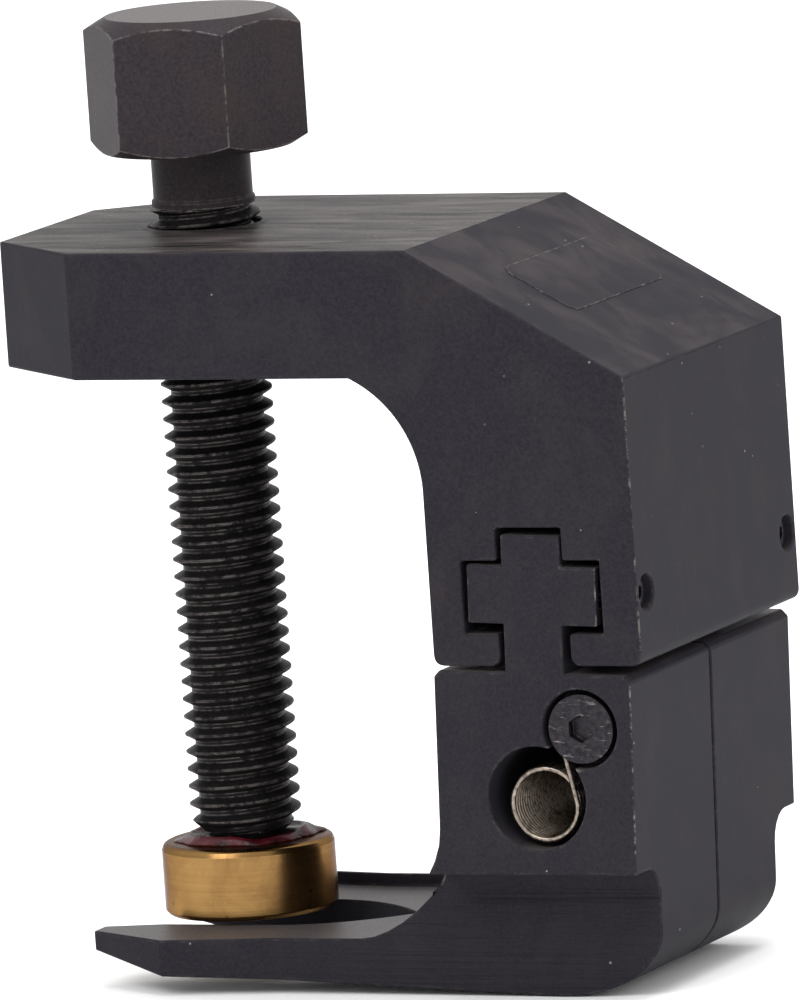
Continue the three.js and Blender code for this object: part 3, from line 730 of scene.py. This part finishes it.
def thread_mouth(material):
    """The burred edge of the threaded hole on top of the arm, close round the thread."""
    lip = THREAD_RADIUS + MOUTH_CLEARANCE
    foot = ARM_TOP - MOUTH_DEPTH
    obj = solid_from("thread_mouth", *ring_mesh([
        (lip, foot), (MOUTH_RADIUS, foot), (MOUTH_RADIUS, ARM_TOP - MOUTH_SUNK),
        (MOUTH_RADIUS - MOUTH_OUTER_SLOPE, ARM_TOP + MOUTH_BURR / 2),
        (lip + MOUTH_INNER_SLOPE, ARM_TOP + MOUTH_BURR), (lip, ARM_TOP),
    ]))
    rounded_edges(obj, MOUTH_EDGE, segments=2)
    return dress(obj, "frame", material)


def slope_panel(material):
    """A blank raised panel with rounded corners on the sloping back."""
    down = Vector((BACK_X - RIDGE_X, 0, SLOPE_FOOT_Z - ARM_TOP)).normalized()
    out = Vector((-down.z, 0, down.x))
    ridge = Vector((RIDGE_X, 0, ARM_TOP))
    outline = []
    for y, along, start in (
        (PANEL_REAR_Y, PANEL_FOOT, 0), (PANEL_FRONT_Y, PANEL_FOOT, 1),
        (PANEL_FRONT_Y, PANEL_TOP, 2), (PANEL_REAR_Y, PANEL_TOP, 3),
    ):
        inward_y = -1 if y > 0 else 1
        inward = -1 if along > PANEL_TOP else 1
        cy, ca = y + inward_y * PANEL_CORNER, along + inward * PANEL_CORNER
        for k in range(PANEL_CORNER_STEPS + 1):
            angle = math.pi / 2 * (start + k / PANEL_CORNER_STEPS)
            outline.append((cy + PANEL_CORNER * math.cos(angle), ca + PANEL_CORNER * math.sin(angle)))
    points = []
    for lift in (-PANEL_SUNK, PANEL_RISE):
        points += [ridge + down * along + Vector((0, y, 0)) + out * lift for y, along in outline]
    count = len(outline)
    faces = [tuple(range(count)), tuple(range(2 * count - 1, count - 1, -1))]
    faces += [(i, (i + 1) % count, count + (i + 1) % count, count + i) for i in range(count)]
    obj = solid_from("slope_panel", points, faces)
    rounded_edges(obj, PANEL_EDGE, segments=2)
    return dress(obj, "frame", material)


# ---- setting ------------------------------------------------------------------------------------

def floor():
    """A plain pale floor under the object."""
    z = CAD_LOW.z - FLOOR_DROP
    corners = [(FLOOR_HALF * x, FLOOR_HALF * y, z) for x, y in ((-1, -1), (1, -1), (1, 1), (-1, 1))]
    mesh = bpy.data.meshes.new("floor")
    mesh.from_pydata(corners, [], [(0, 1, 2, 3)])
    obj = link_mesh("floor", mesh)
    tree = Tree("floor_paper")
    fibre = tree.noise((0.08, 0.08, 0.08), detail=3)
    colour = tree.mix(tree.span(fibre, 0.3, 0.7), linear(250, 250, 250), linear(254, 254, 254))
    mesh.materials.append(tree.finish(colour, 0.9, 0.0, tree.bump(fibre, 0.02, 0.1)))
    obj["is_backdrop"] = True


def area_light(name, place, size, power):
    """A soft square light that faces the object; place and size are in metres, power in watts."""
    light = bpy.data.lights.new(name, "AREA")
    light.shape = "SQUARE"
    light.size = size
    light.energy = power
    obj = bpy.data.objects.new(name, light)
    bpy.context.scene.collection.objects.link(obj)
    obj.location = Vector(place)
    obj.rotation_euler = (CAMERA_TARGET - obj.location).to_track_quat("-Z", "Y").to_euler()


def light_setting():
    world = bpy.data.worlds.new("studio")
    bpy.context.scene.world = world
    world.use_nodes = True
    background = world.node_tree.nodes["Background"]
    background.inputs["Color"].default_value = (1.0, 1.0, 1.0, 1.0)
    background.inputs["Strength"].default_value = 1.0
    area_light("key", place=(-0.2, -0.75, 0.75), size=0.5, power=4.2)
    area_light("right", place=(0.8, -0.15, 0.35), size=0.4, power=0.9)
    area_light("top", place=(0.1, 0.1, 0.9), size=0.6, power=6.0)
    bpy.context.scene.view_settings.view_transform = "Standard"


def camera():
    data = bpy.data.cameras.new("camera")
    data.lens = CAMERA_LENS
    data.sensor_width = 36.0
    data.clip_end = 20.0
    data.dof.use_dof = False
    obj = bpy.data.objects.new("camera", data)
    bpy.context.scene.collection.objects.link(obj)
    back = Vector((
        math.sin(CAMERA_AZIMUTH) * math.cos(CAMERA_ELEVATION),
        -math.cos(CAMERA_AZIMUTH) * math.cos(CAMERA_ELEVATION),
        math.sin(CAMERA_ELEVATION),
    ))
    right = (-back).cross(Vector((0, 0, 1))).normalized()
    up = back.cross(right)
    across = right * math.cos(CAMERA_ROLL) + up * math.sin(CAMERA_ROLL)
    upward = up * math.cos(CAMERA_ROLL) - right * math.sin(CAMERA_ROLL)
    turn = Matrix((across, upward, back)).transposed().to_4x4()
    obj.matrix_world = Matrix.Translation(CAMERA_TARGET + back * CAMERA_DISTANCE) @ turn
    bpy.context.scene.camera = obj


frame_finish = black_steel("frame_steel", linear(33, 32, 37), linear(46, 44, 49), linear(56, 50, 51))
jaw_finish = black_steel(
    "jaw_steel", linear(34, 33, 38), linear(46, 44, 49), linear(54, 49, 51), milled=True)
screw_finish = screw_metal()
wire_finish = spring_wire()
brass_finish = turned_brass()

refined("c_frame", "frame", frame_finish, FRAME_EDGE)
for end in ("front", "rear"):
    refined("stop_screw_" + end, "frame", screw_finish, STOP_SCREW_EDGE)
refined("thrust_cap", "cap", brass_finish, CAP_EDGE)
refined("cap_snap_ring", "spindle", wire_finish, SNAP_RING_EDGE)
for end in ("front", "rear"):
    refined("jaw_" + end, end + "_jaw", jaw_finish, JAW_EDGE)
for end in ("front", "rear"):
    refined("spring_screw_" + end, end + "_jaw", screw_finish, SPRING_SCREW_EDGE)
spindle_piece(thread_steel())
spring_half(-1, wire_finish)
spring_half(1, wire_finish)
grease_collar(red_grease())
thread_mouth(frame_finish)
slope_panel(frame_finish)

floor()
light_setting()
camera()
